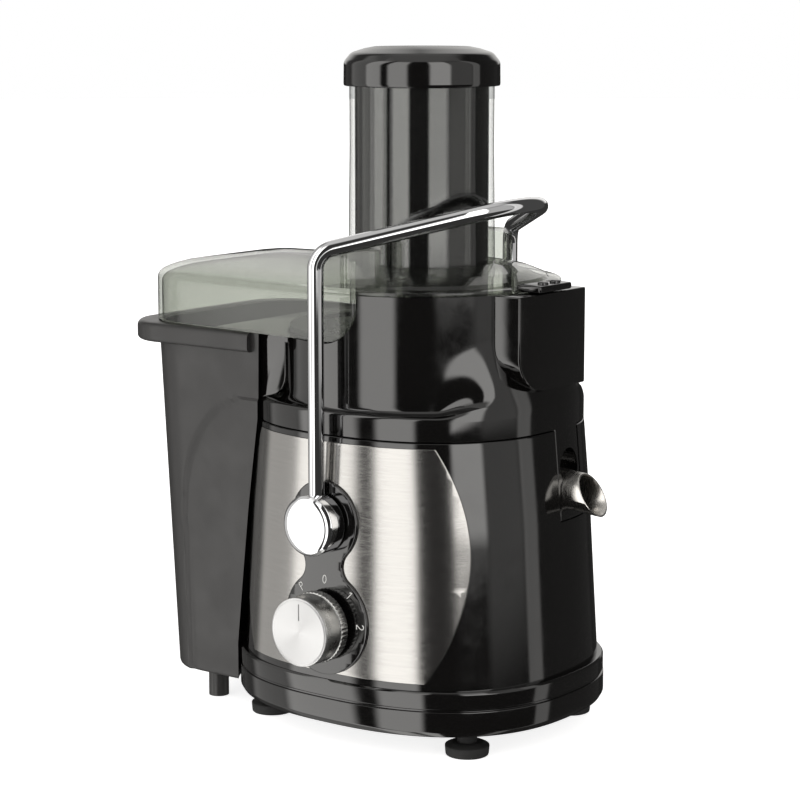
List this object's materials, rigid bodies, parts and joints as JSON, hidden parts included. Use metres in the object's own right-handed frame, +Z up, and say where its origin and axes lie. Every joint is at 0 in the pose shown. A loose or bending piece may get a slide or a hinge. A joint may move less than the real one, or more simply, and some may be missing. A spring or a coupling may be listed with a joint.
{
  "type": "centrifugal juicer",
  "caption": "Countertop centrifugal juicer: motor base with knob, locking arm, bowl with spout, clear lid with wide feed chute and pusher, side pulp bin.",
  "frame": {"origin": "middle of the whole object's box in plan, on the surface it stands on", "axes": "+Z up, -Y the front with the knob, +X towards the juice spout, -X towards the pulp bin"},
  "size_m": [0.2842, 0.217, 0.387],
  "materials": {
    "gloss_black": "gloss moulded",
    "dark_plastic": "satin moulded",
    "foot_rubber": "matte",
    "steel": "machined",
    "brushed_panel": "brushed",
    "cast_alloy": "die cast",
    "lamination": "stacked sheet",
    "copper": "enamelled wire",
    "brass": "stamped",
    "carbon": "carbon",
    "board": "laminate",
    "chrome": "mirror",
    "knob_side": "knurled",
    "turned_aluminium": "radially turned",
    "smoky_clear": "smoky transparent plastic",
    "bin_plastic": "fine satin"
  },
  "bodies": {
    "base": {"base_ring": "gloss_black", "bottom_cover": "dark_plastic", "rubber_feet": "foot_rubber", "cover_screws": "steel", "motor_housing": "gloss_black", "front_panel": "brushed_panel", "control_bezel": "gloss_black", "arm_axles": "steel", "deck_plate": "dark_plastic", "shaft_seal": "foot_rubber", "motor_top_bracket": "cast_alloy", "motor_bottom_bracket": "cast_alloy", "stator_core": "lamination", "field_coils": "copper", "top_bearing": "steel", "bottom_bearing": "steel", "brush_holders": "brass", "carbon_brushes": "carbon", "mount_bushes": "foot_rubber", "motor_bolts": "steel", "speed_switch": "dark_plastic", "control_board": "board", "interlock_switch": "dark_plastic", "cord_gland": "foot_rubber", "juice_bowl": "gloss_black", "juice_spout": "brushed_panel"},
    "rotor": {"motor_shaft": "steel", "armature_core": "lamination", "commutator": "copper", "cooling_fan": "dark_plastic", "drive_coupling": "dark_plastic", "basket_hub": "dark_plastic", "grater_disc": "steel", "strainer_cone": "steel", "basket_rim": "dark_plastic"},
    "locking_arm": {"arm_tube": "chrome", "arm_caps": "chrome"},
    "speed_knob": {"knob_body": "knob_side", "knob_face": "turned_aluminium", "knob_spindle": "steel"},
    "lid": {"lid_cover": "smoky_clear", "feed_chute": "smoky_clear"},
    "pusher": {"pusher_cap": "gloss_black", "pusher_body": "gloss_black"},
    "pulp_bin": {"pulp_bin": "bin_plastic", "bin_feet": "bin_plastic"}
  },
  "joints": [
    {"name": "arm_swing", "type": "hinge", "parent": "base", "child": "locking_arm", "pos_m": [0.0252, 0.00495, 0.128], "axis": [0, 1, 0], "range_deg": [0, 85]},
    {"name": "knob_turn", "type": "hinge", "parent": "base", "child": "speed_knob", "pos_m": [0.0279, -0.09505, 0.071], "axis": [0, 1, 0], "range_deg": [-45, 90]},
    {"name": "rotor_spin", "type": "hinge", "parent": "base", "child": "rotor", "pos_m": [0.0279, 0.00495, 0.1], "axis": [0, 0, 1], "continuous": true},
    {"name": "lid_lift", "type": "slide", "parent": "base", "child": "lid", "axis": [0, 0, 1], "range_m": [0, 0.051]},
    {"name": "pusher_slide", "type": "slide", "parent": "lid", "child": "pusher", "axis": [0, 0, 1], "range_m": [0, 0.13]},
    {"name": "bin_slide", "type": "slide", "parent": "base", "child": "pulp_bin", "axis": [-1, 0, 0], "range_m": [0, 0.12]}
  ],
  "couplings": [
    {"joint": "lid_lift", "follows": "arm_swing", "m_per_rad": 0.034}
  ]
}
